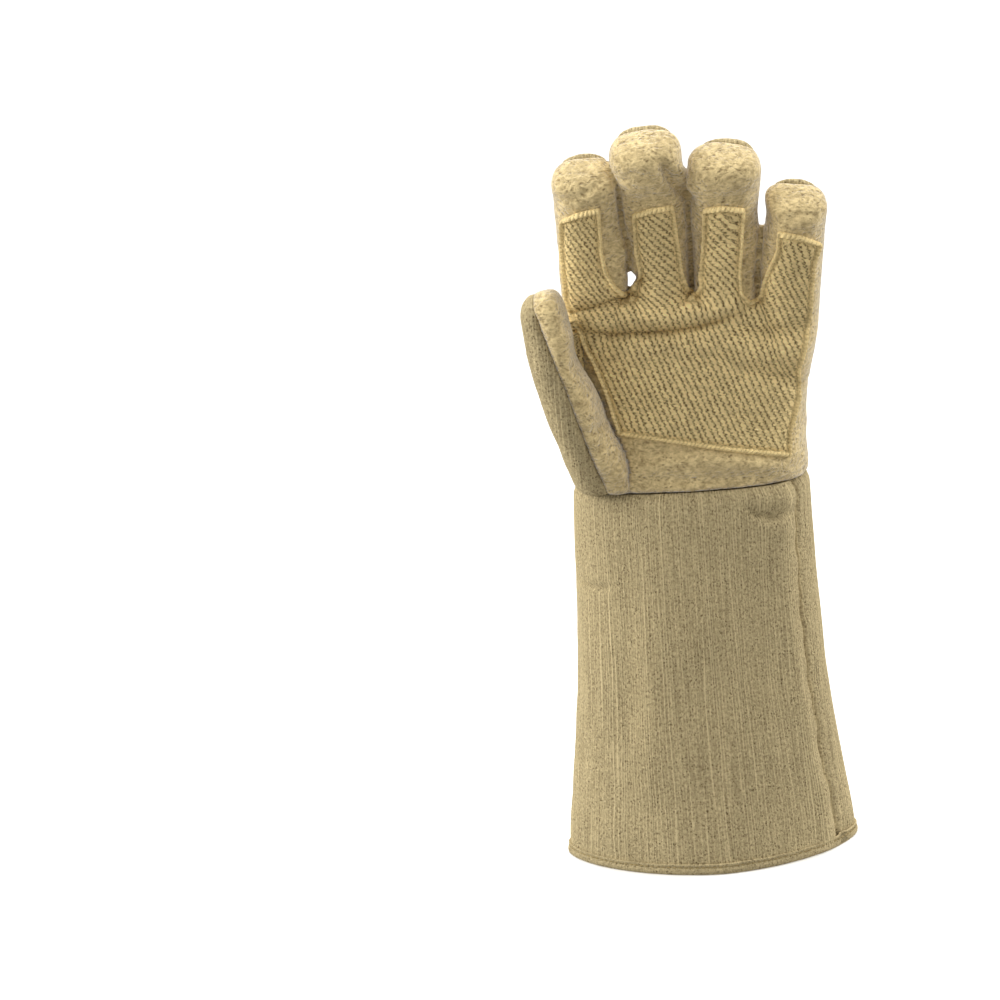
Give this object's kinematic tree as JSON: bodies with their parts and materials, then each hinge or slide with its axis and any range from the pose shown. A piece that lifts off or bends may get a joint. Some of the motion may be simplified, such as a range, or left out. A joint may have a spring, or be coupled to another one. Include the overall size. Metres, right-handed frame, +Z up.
{
  "type": "heat-resistant work glove",
  "caption": "Left-hand heat-resistant glove of padded cream felt with a long gauntlet cuff, a woven back and twill reinforcement patches on the palm, fingers and thumb.",
  "frame": {"origin": "middle of the glove's box, on the floor under its open cuff", "axes": "+Z up from the cuff's hem to the fingertips, palm facing -Y, thumb at -X, little finger at +X"},
  "size_m": [0.1702, 0.1202, 0.42],
  "materials": {
    "woven_cloth": "ribbed aramid cloth with a dry, grainy face",
    "felt": "brushed, pilled needle felt",
    "twill": "heavy slubby twill",
    "binding_tape": "flat woven tape with a dark stitch line"
  },
  "bodies": {
    "root": {"cuff": "woven_cloth", "hem_binding": "binding_tape", "back_panel": "woven_cloth", "palm_panel": "felt", "thumb_outer": "woven_cloth", "thumb_inner": "felt", "palm_patch": "twill", "thumb_patch": "twill"}
  },
  "joints": []
}
